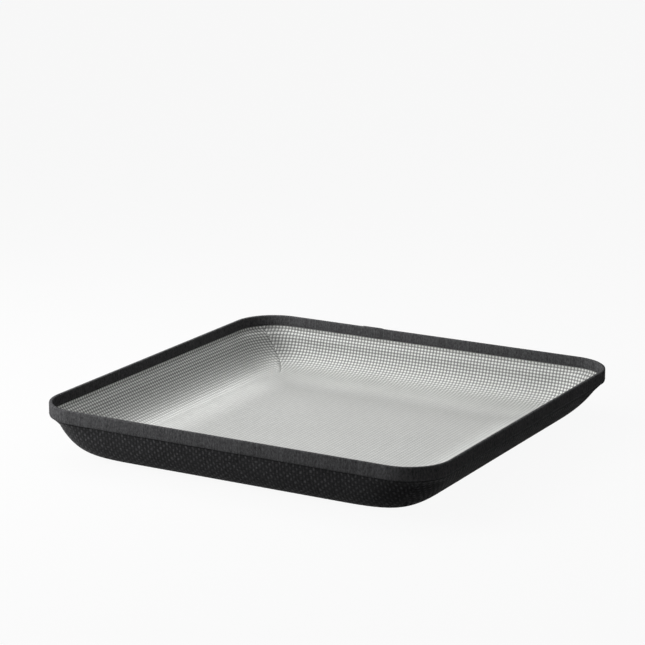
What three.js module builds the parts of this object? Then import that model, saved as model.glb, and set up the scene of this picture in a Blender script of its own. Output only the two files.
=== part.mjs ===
// Grow tent floor tray: a square, shallow soft tray that catches spills under potted plants.
// A canvas skin and a reflective liner are nested with foam pads between them. Their upper
// edges and a stiffening strip are bound together by a webbing tape folded over the rim.
// Millimetres, +Z up. The origin is the centre of the underside, which lies on the floor.
// Front is -Y, right is +X.

import * as THREE from 'three';
import { ParametricGeometry } from 'three/addons/geometries/ParametricGeometry.js';

// Overall sizes
const RIM_SIDE = 600;            // outside of the rim band, both ways
const TRAY_HEIGHT = 75;          // floor to the top of the rim
const RIM_CORNER_RADIUS = 63;    // outside of the rim band, seen from above
const BASE_INSET = 70;           // from the band's face in to the edge of the flat floor

// Sheet thicknesses and the gap left between neighbouring layers
const TAPE_THICKNESS = 0.7;
const STRIP_THICKNESS = 1.2;
const CANVAS_THICKNESS = 0.7;
const LINER_THICKNESS = 0.4;
const PAD_THICKNESS = 2.4;
const CLEARANCE = 0.25;

// Rim
const BAND_HEIGHT = 18;          // of the tape on the outside of the rim
const INNER_BAND_HEIGHT = 15;    // of the tape on the inside of the rim
const STRIP_HEM = 1.5;           // tape that reaches below the strip
const STRIP_END_GAP = 1;         // between the two ends of the strip
const LAP_LENGTH = 30;           // of the tape's end lying over its beginning
const LAP_CUT = 0.6;             // length of the slanted cut at each end of the lap
const LAP_CENTRE_X = -100;       // on the back of the rim
const FOLD_RADIUS = 1.2;         // outside of the tape's two bends over the rim

// Wall: its section is a cubic curve from under the band to the edge of the floor. The drop is
// the fall of the curve's upper handle, the lean is how far that handle runs inwards, and the
// foot is the length of its lower handle, which lies flat in the floor. The left and right
// walls slope more than the front and back ones.
const FLANGE_BELOW_BAND = 0.5;
const WALL_DROP = 25;
const SIDE_WALL = { lean: 15, foot: 23 };
const END_WALL = { lean: 4, foot: 62 };
const PAD_TAPER = 0.2;           // share of the wall curve in which the pads reach full thickness
const PAD_START = 0.14;          // share of the wall curve above the pads' upper edges

// Corners: each is a cubic curve. The reach is the distance from where its curve starts to the
// square corner, and the tension is its handles' share of that reach. They are circular at the
// rim and grow squarer towards the floor.
const WALL_CORNER_REACH = 84;
const WALL_TENSION_TOP = 0.64;
const WALL_TENSION_BASE = 0.88;
const CIRCLE_TENSION = 0.5523;
const CORNER_SETTLE = 0.15;      // share of the wall curve in which the corners leave the circle

// Facets
const CORNER_STEPS = 10;
const WALL_STEPS = 14;
const FOLD_STEPS = 3;            // in each of the tape's two bends

// Places worked out from the sizes above, as insets from the band's outer face
const STRIP_INSET = TAPE_THICKNESS + CLEARANCE;
const CANVAS_INSET = STRIP_INSET + STRIP_THICKNESS + CLEARANCE;
const LINER_INSET = CANVAS_INSET + CANVAS_THICKNESS + CLEARANCE;
const INNER_TAPE_INSET = LINER_INSET + LINER_THICKNESS + CLEARANCE;
const RIM_THICKNESS = INNER_TAPE_INSET + TAPE_THICKNESS;
const BAND_BOTTOM = TRAY_HEIGHT - BAND_HEIGHT;
const INNER_BAND_BOTTOM = TRAY_HEIGHT - INNER_BAND_HEIGHT;
const LAYER_TOP = TRAY_HEIGHT - TAPE_THICKNESS - CLEARANCE;
const FLANGE_BOTTOM = BAND_BOTTOM - FLANGE_BELOW_BAND;
const STRIP_BOTTOM = BAND_BOTTOM + STRIP_HEM;

const mix = THREE.MathUtils.lerp;
const smooth = THREE.MathUtils.smoothstep;

// A station is one place round the tray: a point on one of the four corner curves, or a point
// at a fixed x on the straight back side of the rim. They run anticlockwise.
function cornerStations(signX, signY) {
  const steps = Array.from({ length: CORNER_STEPS + 1 }, (_, i) => i / CORNER_STEPS);
  const shares = signX * signY < 0 ? steps : steps.toReversed();
  return shares.map((share) => ({ signX, signY, share }));
}

const frontRight = cornerStations(1, -1);
const backRight = cornerStations(1, 1);
const backLeft = cornerStations(-1, 1);
const frontLeft = cornerStations(-1, -1);
const wallStations = [...frontRight, ...backRight, ...backLeft, ...frontLeft];

// The rim has more: the cut ends of the tape's lap and, between them, the ends of the strip.
const lapHalf = LAP_LENGTH / 2;
const lapOffsets = [lapHalf + LAP_CUT, lapHalf, STRIP_END_GAP / 2];
const backStations = [...lapOffsets, ...lapOffsets.map((offset) => -offset).reverse()]
  .map((offset) => ({ signX: 0, signY: 1, x: LAP_CENTRE_X + offset }));
const lapStations = backStations.slice(1, -1);
const stripStart = backStations[lapOffsets.length];
const rimStations = [...frontRight, ...backRight, ...backStations, ...backLeft, ...frontLeft];

// The outline at one level: a rectangle inset from the band's face, with curved corners.
function outlinePoint(station, { insetX, insetY, reach, tension, z }) {
  const halfX = RIM_SIDE / 2 - insetX;
  const halfY = RIM_SIDE / 2 - insetY;
  const { signX, signY, share, x } = station;
  if (signX === 0) {
    return new THREE.Vector3(x, halfY * signY, z);
  }
  const handle = reach * (1 - tension);
  const corner = new THREE.CubicBezierCurve(
    new THREE.Vector2(halfX - reach, halfY),
    new THREE.Vector2(halfX - handle, halfY),
    new THREE.Vector2(halfX, halfY - handle),
    new THREE.Vector2(halfX, halfY - reach),
  );
  const point = corner.getPoint(share);
  return new THREE.Vector3(point.x * signX, point.y * signY, z);
}

function outline(level) {
  return wallStations.map((station) => outlinePoint(station, level));
}

function rimLevel(inset, z) {
  return {
    insetX: inset,
    insetY: inset,
    reach: RIM_CORNER_RADIUS - inset,
    tension: CIRCLE_TENSION,
    z,
  };
}

// The canvas's outer face, listed from its upper edge down to the edge of the floor.
function wallSection({ lean, foot }) {
  return new THREE.CubicBezierCurve(
    new THREE.Vector2(CANVAS_INSET, FLANGE_BOTTOM),
    new THREE.Vector2(CANVAS_INSET + lean, FLANGE_BOTTOM - WALL_DROP),
    new THREE.Vector2(BASE_INSET - foot, 0),
    new THREE.Vector2(BASE_INSET, 0),
  );
}

const sideSection = wallSection(SIDE_WALL);
const endSection = wallSection(END_WALL);

function wallLevel(share) {
  const side = sideSection.getPoint(share);
  const end = endSection.getPoint(share);
  const settled = smooth(share, 0, CORNER_SETTLE);
  const tension = mix(WALL_TENSION_TOP, WALL_TENSION_BASE, share);
  return {
    insetX: side.x,
    insetY: end.x,
    reach: mix(RIM_CORNER_RADIUS - CANVAS_INSET, WALL_CORNER_REACH, settled),
    tension: mix(CIRCLE_TENSION, tension, settled),
    z: side.y,
  };
}

const wallShares = Array.from({ length: WALL_STEPS + 1 }, (_, i) => i / WALL_STEPS);
const levels = [rimLevel(CANVAS_INSET, LAYER_TOP), ...wallShares.map(wallLevel)];
const levelShares = [0, ...wallShares];
const canvasFace = levels.map(outline);
const lastLevel = canvasFace.length - 1;

// The way into the tray at each point of that face, square to it.
function inwardNormal(row, column) {
  if (row === lastLevel) {
    return new THREE.Vector3(0, 0, 1);
  }
  const count = wallStations.length;
  const ring = canvasFace[row];
  const around = ring[(column + 1) % count].clone().sub(ring[(column + count - 1) % count]);
  const above = canvasFace[Math.max(row - 1, 0)][column];
  const below = canvasFace[row + 1][column];
  const down = below.clone().sub(above);
  return around.cross(down).normalize();
}

const inward = canvasFace.map((ring, row) => ring.map((_, column) => inwardNormal(row, column)));

// Depths of the layers' faces below the canvas's outer face, at each level
const canvasInner = () => CANVAS_THICKNESS;
const padOuter = () => CANVAS_THICKNESS + CLEARANCE;

function linerOuter(row) {
  const filled = smooth(levelShares[row], 0, PAD_TAPER);
  return padOuter() + filled * (PAD_THICKNESS + CLEARANCE);
}

const padInner = (row) => linerOuter(row) - CLEARANCE;
const linerInner = (row) => linerOuter(row) + LINER_THICKNESS;

function facePoint(row, column, depth) {
  return canvasFace[row][column].clone().addScaledVector(inward[row][column], depth(row));
}

function face(depth) {
  return canvasFace.map((ring, row) => ring.map((_, column) => facePoint(row, column, depth)));
}

// A skin through a list of closed rings, which climb the outside of the piece before they come
// down its inside. A ring of equal points closes an end.
function loft(rings) {
  const count = rings[0].length;
  const last = rings.length - 1;
  const place = (u, v, target) => {
    const ring = rings[Math.round(v * last)];
    target.copy(ring[Math.round(u * count) % count]);
  };
  return new ParametricGeometry(place, count, last);
}

function pole(z) {
  return wallStations.map(() => new THREE.Vector3(0, 0, z));
}

// A sheet formed to the tray: both faces, joined round its upper edge.
function panGeometry(outerDepth, innerDepth) {
  const outer = face(outerDepth);
  const inner = face(innerDepth);
  return loft([
    pole(outerDepth(lastLevel)),
    ...outer.toReversed(),
    ...inner,
    pole(innerDepth(lastLevel)),
  ]);
}

// A sheet bent to a place: a box whose points are moved to (along, down, inner) by a function.
function bentSheet(alongSteps, downSteps, place) {
  const geometry = new THREE.BoxGeometry(1, 1, 1, alongSteps, downSteps, 1);
  const position = geometry.getAttribute('position');
  for (let i = 0; i < position.count; i += 1) {
    const along = Math.round((position.getX(i) + 0.5) * alongSteps);
    const down = Math.round((0.5 - position.getY(i)) * downSteps);
    const inner = position.getZ(i) < 0;
    const point = place(along, down, inner);
    position.setXYZ(i, point.x, point.y, point.z);
  }
  return geometry;
}

// A foam pad on one straight wall, from the end of one corner curve to the start of the next.
function wallPadGeometry(fromCorner, toCorner) {
  const ends = [fromCorner.at(-1), toCorner[0]].map((station) => wallStations.indexOf(station));
  const top = levelShares.findIndex((share) => share >= PAD_START);
  return bentSheet(1, lastLevel - top, (along, down, inner) => {
    const depth = inner ? padInner : padOuter;
    return facePoint(top + down, ends[along], depth);
  });
}

// The foam pad under the flat floor, clear of the wall pads that meet it all round.
function basePadGeometry() {
  const floor = levels[lastLevel];
  const insets = { insetX: floor.insetX + CLEARANCE, insetY: floor.insetY + CLEARANCE };
  const low = padOuter();
  const high = padInner(lastLevel);
  return loft([
    pole(low),
    outline({ ...floor, ...insets, z: low }),
    outline({ ...floor, ...insets, z: high }),
    pole(high),
  ]);
}

// The stiffening strip: one length bent round the rim, its ends meeting under the tape's lap.
function rimStripGeometry() {
  const count = rimStations.length;
  const first = rimStations.indexOf(stripStart);
  return bentSheet(count - 1, 1, (along, down, inner) => {
    const station = rimStations[(first + along) % count];
    const inset = STRIP_INSET + (inner ? STRIP_THICKNESS : 0);
    return outlinePoint(station, rimLevel(inset, down === 0 ? LAYER_TOP : STRIP_BOTTOM));
  });
}

// The binding tape's section as [inset, z, growth] from the lower edge of its outer flap, over
// the fold and down to the inner flap, then back inside. Growth is the way that the outside of
// the section moves where the tape lies double.
function tapeSection() {
  const bend = (centre, from) => Array.from({ length: FOLD_STEPS + 1 }, (_, i) => {
    const angle = from - (Math.PI / 2) * (i / FOLD_STEPS);
    const growth = [Math.cos(angle), Math.sin(angle)];
    const z = TRAY_HEIGHT + FOLD_RADIUS * (growth[1] - 1);
    return [centre + FOLD_RADIUS * growth[0], z, growth];
  });
  const still = [0, 0];
  return [
    [0, BAND_BOTTOM, [-1, 0]],
    ...bend(FOLD_RADIUS, Math.PI),
    ...bend(RIM_THICKNESS - FOLD_RADIUS, Math.PI / 2),
    [RIM_THICKNESS, INNER_BAND_BOTTOM, [1, 0]],
    [INNER_TAPE_INSET, INNER_BAND_BOTTOM, still],
    [INNER_TAPE_INSET, TRAY_HEIGHT - TAPE_THICKNESS, still],
    [TAPE_THICKNESS, TRAY_HEIGHT - TAPE_THICKNESS, still],
    [TAPE_THICKNESS, BAND_BOTTOM, still],
  ];
}

function rimBindingGeometry() {
  const section = tapeSection();
  const rings = section.map(([inset, z, growth]) => rimStations.map((station) => {
    const extra = lapStations.includes(station) ? TAPE_THICKNESS : 0;
    return outlinePoint(station, rimLevel(inset + growth[0] * extra, z + growth[1] * extra));
  }));
  return loft([...rings, rings[0]]);
}

const finishes = {
  canvas: { color: 0x1c1d1d, roughness: 0.85, metalness: 0 },
  film: { color: 0xb4b7b2, roughness: 0.35, metalness: 0.9 },
  webbing: { color: 0x343537, roughness: 0.9, metalness: 0 },
  plastic: { color: 0x17181a, roughness: 0.5, metalness: 0 },
  foam: { color: 0x3a3b3d, roughness: 0.95, metalness: 0 },
};

const tray = new THREE.Group();

function addPiece(name, geometry, finish) {
  const piece = new THREE.Mesh(geometry, new THREE.MeshStandardMaterial(finishes[finish]));
  piece.name = name;
  tray.add(piece);
}

addPiece('outer_canvas', panGeometry(() => 0, canvasInner), 'canvas');
addPiece('base_pad', basePadGeometry(), 'foam');
addPiece('wall_pad_front', wallPadGeometry(frontLeft, frontRight), 'foam');
addPiece('wall_pad_right', wallPadGeometry(frontRight, backRight), 'foam');
addPiece('wall_pad_back', wallPadGeometry(backRight, backLeft), 'foam');
addPiece('wall_pad_left', wallPadGeometry(backLeft, frontLeft), 'foam');
addPiece('reflective_liner', panGeometry(linerOuter, linerInner), 'film');
addPiece('rim_strip', rimStripGeometry(), 'plastic');
addPiece('rim_binding', rimBindingGeometry(), 'webbing');

export default tray;
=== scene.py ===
"""Looks of a grow tent floor tray: a square soft tray of black canvas, lined with embossed silver film,
with foam pads between the two skins and a ribbed webbing tape bound over the rim.

Each skin is cut flat, given its weave or its embossing there, and then laid on the tray's form.
Metres, +Z up, front is -Y and right is +X, as in the frame.
"""

import math

import bpy
import numpy as np
from mathutils import Matrix, Vector


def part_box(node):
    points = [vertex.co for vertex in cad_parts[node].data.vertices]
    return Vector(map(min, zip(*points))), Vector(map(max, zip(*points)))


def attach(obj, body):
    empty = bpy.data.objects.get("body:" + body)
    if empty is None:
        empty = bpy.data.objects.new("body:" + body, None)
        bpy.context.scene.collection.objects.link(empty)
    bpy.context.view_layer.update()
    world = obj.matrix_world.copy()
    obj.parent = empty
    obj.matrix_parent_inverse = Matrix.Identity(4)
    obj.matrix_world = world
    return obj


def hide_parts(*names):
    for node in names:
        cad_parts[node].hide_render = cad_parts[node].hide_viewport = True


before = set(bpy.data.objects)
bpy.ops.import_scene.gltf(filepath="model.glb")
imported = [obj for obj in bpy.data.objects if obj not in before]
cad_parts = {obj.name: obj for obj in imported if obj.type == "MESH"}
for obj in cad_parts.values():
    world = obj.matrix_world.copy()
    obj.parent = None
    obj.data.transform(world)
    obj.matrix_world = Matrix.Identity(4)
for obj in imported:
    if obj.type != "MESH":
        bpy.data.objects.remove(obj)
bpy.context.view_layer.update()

bl_info = {
    "name": "Grow tent floor tray",
    "version": (1, 0, 0),
    "blender": (4, 5, 0),
    "location": "View3D > Sidebar > Tray",
    "description": "Makes the cloth, film, foam, tape and stitches of a soft floor tray on its frame",
    "category": "Object",
}

MM = 0.001
BODY = "root"

# Layers of the rim and the walls
TAPE_THICKNESS = 0.7 * MM
STRIP_THICKNESS = 1.2 * MM
CANVAS_THICKNESS = 0.7 * MM
LINER_THICKNESS = 0.4 * MM
PAD_THICKNESS = 2.4 * MM
CLEARANCE = 0.25 * MM
CANVAS_INSET = TAPE_THICKNESS + STRIP_THICKNESS + 2 * CLEARANCE
RIM_THICKNESS = CANVAS_INSET + CANVAS_THICKNESS + LINER_THICKNESS + TAPE_THICKNESS + 2 * CLEARANCE

# Sizes that the frame gives
RIM_LOW, RIM_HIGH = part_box("rim_binding")
STRIP_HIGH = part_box("rim_strip")[1]
BASE_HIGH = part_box("base_pad")[1]
RIM_SIDE = RIM_HIGH.x - RIM_LOW.x
RIM_TOP = STRIP_HIGH.z + TAPE_THICKNESS + CLEARANCE
BASE_INSET = RIM_HIGH.x - BASE_HIGH.x - CLEARANCE

# Wall curve and corner curves, as in the frame
FLANGE_BELOW_BAND = 0.5 * MM
WALL_DROP = 25 * MM
SIDE_LEAN, SIDE_FOOT = 15 * MM, 23 * MM
END_LEAN, END_FOOT = 4 * MM, 62 * MM
PAD_TAPER = 0.2
PAD_START = 0.14
WALL_CORNER_REACH = 84 * MM
WALL_TENSION_TOP, WALL_TENSION_BASE = 0.64, 0.88
CIRCLE_TENSION = 0.5523
CORNER_SETTLE = 0.15
HEM = 7 * MM

# Lap of the tape, on the back of the rim
LAP_LENGTH = 30 * MM
LAP_CENTRE_X = -100 * MM
LAP_CLIMB = 5 * MM
LAP_GAP = 0.05 * MM

# How finely the form is drawn, where its relief fades at the hem and the floor, and the seed of what varies
CORNER_STEPS = 28
WALL_STEPS = 48
HEM_STEPS = 3
HEM_FADE = 0.02
FLOOR_FADE = 0.93
SEED = 7


def arithmetic(operation, reflected=False):
    """A method that adds a Math node for a socket and another one or a number."""

    def method(self, other):
        pair = (other, self) if reflected else (self, other)
        return self.graph.math(operation, *pair)

    return method


class Value:
    """A socket of a node tree. Arithmetic with it adds Math nodes to that tree."""

    def __init__(self, graph, socket):
        self.graph = graph
        self.socket = socket

    def out(self, name):
        """Another output of the same node."""
        return Value(self.graph, self.socket.node.outputs[name])

    def math(self, operation, *others):
        return self.graph.math(operation, self, *others)

    __add__ = __radd__ = arithmetic("ADD")
    __mul__ = __rmul__ = arithmetic("MULTIPLY")
    __sub__, __rsub__ = arithmetic("SUBTRACT"), arithmetic("SUBTRACT", True)
    __truediv__, __rtruediv__ = arithmetic("DIVIDE"), arithmetic("DIVIDE", True)
    __mod__ = arithmetic("FLOORED_MODULO")
    __gt__ = arithmetic("GREATER_THAN")


class Graph:
    """A node tree that is being filled."""

    def __init__(self, tree):
        self.tree = tree
        tree.nodes.clear()

    def node(self, kind, settings=None, inputs=None):
        """Adds a node, makes its settings, then fills its sockets. Returns its first output."""
        made = self.tree.nodes.new(kind)
        for name, setting in (settings or {}).items():
            setattr(made, name, setting)
        for name, given in (inputs or {}).items():
            socket = made.inputs[name]
            if isinstance(given, Value):
                self.tree.links.new(given.socket, socket)
            else:
                socket.default_value = given
        return Value(self, made.outputs[0]) if made.outputs else None

    def math(self, operation, *values):
        return self.node("ShaderNodeMath", {"operation": operation}, dict(enumerate(values)))

    def vector(self, operation, *values):
        return self.node("ShaderNodeVectorMath", {"operation": operation}, dict(enumerate(values)))

    def scaled(self, vector, factor):
        """A vector made longer, or a colour made lighter, by a number."""
        return self.node("ShaderNodeVectorMath", {"operation": "SCALE"}, {0: vector, "Scale": factor})

    def split(self, vector):
        made = self.node("ShaderNodeSeparateXYZ", None, {0: vector})
        return made, made.out("Y"), made.out("Z")

    def join(self, x, y, z=0.0):
        return self.node("ShaderNodeCombineXYZ", None, {"X": x, "Y": y, "Z": z})

    def blend(self, factor, first, second):
        """A number that goes from first to second as the factor goes from 0 to 1."""
        return factor * (second - first) + first

    def step(self, value, start, end):
        """A smooth step from 0 at start to 1 at end."""
        return self.node(
            "ShaderNodeMapRange", {"interpolation_type": "SMOOTHSTEP"}, {0: value, 1: start, 2: end}
        )

    def cell(self, place, size, count):
        """A place counted in cells, of which a number fill a size round the middle, and its cell's number."""
        cells = (place + size / 2) / (size / count)
        return cells, cells.math("FLOOR")

    def noise(self, vector, scale, detail=2.0, roughness=0.5):
        inputs = {"Vector": vector, "Scale": scale, "Detail": detail, "Roughness": roughness}
        return self.node("ShaderNodeTexNoise", {"noise_dimensions": "3D"}, inputs)


def smooth(share, start, end):
    """A smooth step from 0 at start to 1 at end."""
    part = np.clip((share - start) / (end - start), 0, 1)
    return part * part * (3 - 2 * part)


def mix(first, second, share):
    return first + (second - first) * share


def bezier(share, first, second, third, last):
    rest = 1 - share
    return rest**3 * first + 3 * rest**2 * share * second + 3 * rest * share**2 * third + share**3 * last


def unit(vectors):
    return vectors / np.linalg.norm(vectors, axis=-1, keepdims=True)


def quarter_corner(half_x, half_y, reach_x, reach_y, tension):
    """Corner curves of outlines, one row each, from their back side round to their right side."""
    share = np.linspace(0, 1, CORNER_STEPS + 1)
    half_x, half_y, reach_x, reach_y, tension = (
        np.asarray(size)[:, None] for size in (half_x, half_y, reach_x, reach_y, tension)
    )
    slack = 1 - tension
    x = bezier(share, half_x - reach_x, half_x - reach_x * slack, half_x, half_x)
    y = bezier(share, half_y, half_y, half_y - reach_y * slack, half_y - reach_y)
    return np.stack([x, y], axis=-1)


def all_round(corner):
    """A quarter's curves at all four corners, anticlockwise from the front right one."""
    turned = []
    for sign in ((1, -1), (1, 1), (-1, 1), (-1, -1)):
        order = 1 if sign[0] * sign[1] < 0 else -1
        turned.append((corner * sign)[:, ::order])
    return np.concatenate(turned, axis=1)


# The darts in the corners of the skins
DART = CORNER_STEPS // 2
DART_HALVES = np.concatenate([np.arange(DART + 1), np.arange(DART, CORNER_STEPS + 1)])
DART_OPEN = 0.7


class TrayForm:
    """The canvas's outer face as rings of points, from the hem in the rim down to the floor's edge."""

    def __init__(self, sizes):
        band_bottom = sizes.height - sizes.band_height
        top = band_bottom - FLANGE_BELOW_BAND
        base = sizes.base_inset
        wall = np.linspace(0, 1, WALL_STEPS + 1)
        hem = np.linspace(band_bottom + HEM, top, HEM_STEPS, endpoint=False)
        self.share = np.concatenate([np.zeros(HEM_STEPS), wall])
        self.z = np.concatenate([hem, bezier(wall, top, top - WALL_DROP, 0, 0)])
        inset_x = bezier(self.share, CANVAS_INSET, CANVAS_INSET + SIDE_LEAN, base - SIDE_FOOT, base)
        inset_y = bezier(self.share, CANVAS_INSET, CANVAS_INSET + END_LEAN, base - END_FOOT, base)
        settled = smooth(self.share, 0, CORNER_SETTLE)
        tension = mix(WALL_TENSION_TOP, WALL_TENSION_BASE, self.share)
        reach = mix(sizes.corner_radius - CANVAS_INSET, WALL_CORNER_REACH, settled)
        self.tension = mix(CIRCLE_TENSION, tension, settled)
        half_x = sizes.rim_side / 2 - inset_x
        half_y = sizes.rim_side / 2 - inset_y
        self.straight_x = half_x - reach
        self.straight_y = half_y - reach
        outline = all_round(quarter_corner(half_x, half_y, reach, reach, self.tension))
        level = np.broadcast_to(self.z[:, None, None], (*outline.shape[:2], 1))
        self.face = np.concatenate([outline, level], axis=-1)
        around = np.roll(self.face, -1, axis=1) - np.roll(self.face, 1, axis=1)
        self.inward = unit(np.cross(around, np.gradient(self.face, axis=0)))
        self.inward[-1] = (0, 0, 1)

    def layer(self, depth):
        """The face at a depth behind the canvas's own, which may differ from ring to ring."""
        return self.face + self.inward * np.reshape(depth, (-1, 1, 1))

    def liner_depth(self):
        """Depth of the film's hidden face: against the canvas in the rim, against the pads below."""
        filled = smooth(self.share, 0, PAD_TAPER)
        return CANVAS_THICKNESS + CLEARANCE + filled * (PAD_THICKNESS + CLEARANCE)

    def flat(self, face, stretch=1.0):
        """Where each point of a layer lies when the sheet is flat, with the floor left as it is and the
        walls drawn out by a factor. A dart opens up each corner, so that the rows run on round it."""
        half_u = self.unrolled(face[:, CORNER_STEPS], 0, stretch)[:, None]
        half_v = self.unrolled(face[:, 0], 1, stretch)[:, None]
        straight_x, straight_y = self.straight_x[:, None], self.straight_y[:, None]
        reaches = (half_u - straight_x)[:, 0], (half_v - straight_y)[:, 0]
        whole = quarter_corner(half_u[:, 0], half_v[:, 0], *reaches, self.tension)[:, DART_HALVES]
        steps = np.linalg.norm(np.diff(face[:, : CORNER_STEPS + 1], axis=1), axis=-1)
        run = np.pad(np.cumsum(steps, axis=1), ((0, 0), (1, 0)))
        before, after = run[:, : DART + 1], (run[:, -1:] - run)[:, DART:]
        along = np.broadcast_arrays(straight_x + before, half_v)
        beside = np.broadcast_arrays(half_u, straight_y + after)
        darted = np.concatenate([np.stack(half, axis=-1) for half in (along, beside)], axis=1)
        return all_round(mix(whole, darted, smooth(self.share, 1, DART_OPEN)[:, None, None]))

    @staticmethod
    def cut(layer):
        """A layer's points with those on the middle line of each corner given twice, once for each side of
        the dart."""
        corners = [DART_HALVES + (CORNER_STEPS + 1) * i for i in range(4)]
        return layer[:, np.concatenate(corners)]

    @staticmethod
    def unrolled(section, axis, stretch):
        """Distance of a wall section's points from the middle of the tray, along the sheet."""
        steps = np.hypot(np.diff(section[:, axis]), np.diff(section[:, 2]))
        above = np.append(np.cumsum(steps[::-1])[::-1], 0)
        return abs(section[-1, axis]) + above * stretch


def ring_quads(rows, columns):
    """Faces between closed rings of points, ring after ring."""
    ring = np.arange(rows - 1)[:, None] * columns
    here = np.arange(columns)[None]
    there = (here + 1) % columns
    corners = (ring + here, ring + there, ring + columns + there, ring + columns + here)
    return np.stack(corners, axis=-1).reshape(-1, 4).tolist()


def new_piece(name, points, faces, edges=()):
    """A mesh object at the origin."""
    mesh = bpy.data.meshes.new(name)
    mesh.from_pydata(np.asarray(points).reshape(-1, 3).tolist(), edges, faces)
    mesh.update()
    piece = bpy.data.objects.new(name, mesh)
    bpy.context.scene.collection.objects.link(piece)
    return piece


def add_vectors(mesh, name, vectors):
    attribute = mesh.attributes.new(name, "FLOAT_VECTOR", "POINT")
    attribute.data.foreach_set("vector", np.asarray(vectors, np.float32).ravel())


def read(items, name, size=1, kind=int):
    """What each of a mesh's items holds under a name, one row for each where that is more than one number."""
    found = np.zeros(len(items) * size, kind)
    items.foreach_get(name, found)
    return found.reshape(-1, size) if size > 1 else found


def shade_smooth(mesh):
    mesh.polygons.foreach_set("use_smooth", np.ones(len(mesh.polygons), bool))


def settle(piece, slot, *nodes):
    """Puts a finished piece on the tray's body, in place of its plain solids."""
    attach(piece, BODY)
    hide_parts(*nodes)


def geometry_tree(name, inputs):
    """A new geometry node tree. Returns its graph and its inputs."""
    tree = bpy.data.node_groups.new(name, "GeometryNodeTree")
    for side in ("INPUT", "OUTPUT"):
        tree.interface.new_socket("Geometry", in_out=side, socket_type="NodeSocketGeometry")
    for label, kind in inputs.items():
        tree.interface.new_socket(label, in_out="INPUT", socket_type="NodeSocket" + kind)
    graph = Graph(tree)
    return graph, graph.node("NodeGroupInput")


def finish_tree(graph, geometry, material):
    """Ends a tree with plain geometry in one material."""
    plain = graph.node("GeometryNodeRealizeInstances", None, {"Geometry": geometry})
    dressed = graph.node("GeometryNodeSetMaterial", None, {"Geometry": plain, "Material": material})
    graph.node("NodeGroupOutput", None, {"Geometry": dressed})
    return graph.tree


def grow(piece, tree, given):
    """Runs a node tree on a piece and keeps the result as its plain mesh."""
    modifier = piece.modifiers.new(tree.name, "NODES")
    modifier.node_group = tree
    for socket in tree.interface.items_tree:
        if socket.in_out == "INPUT" and socket.name in given:
            modifier[socket.identifier] = given[socket.name]
    graph = bpy.context.evaluated_depsgraph_get()
    grown = bpy.data.meshes.new_from_object(
        piece.evaluated_get(graph), preserve_all_data_layers=True, depsgraph=graph
    )
    start = piece.data
    piece.modifiers.remove(modifier)
    piece.data = grown
    bpy.data.meshes.remove(start)
    grown.name = piece.name
    if not grown.polygons:
        raise RuntimeError(f"{piece.name} came out empty")
    grown.materials.clear()
    grown.materials.append(given["Material"])
    grown.polygons.foreach_set("material_index", np.zeros(len(grown.polygons), np.int32))


TURNS = ("Even", "Odd")
RELIEF = ("Rise", "Top Across", "Top Along")
CLOTH_INPUTS = {
    **dict.fromkeys(("Width", "Length", "Thickness", "Slack"), "Float"),
    **dict.fromkeys(("Cells Across", "Cells Along"), "Int"),
    **{f"{turn} {name}": "Float" for turn in TURNS for name in RELIEF},
    "Material": "Material",
}

# Ripples of the slack to the metre, how much the cut's border is drawn in, the share of relief over which
# cells are raised, and the distance at which points are joined
SLACK_SCALE = 9.0
EDGE_TUCK = 0.9998
RAISED_FROM = 0.5
WELD = 1e-7


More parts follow.
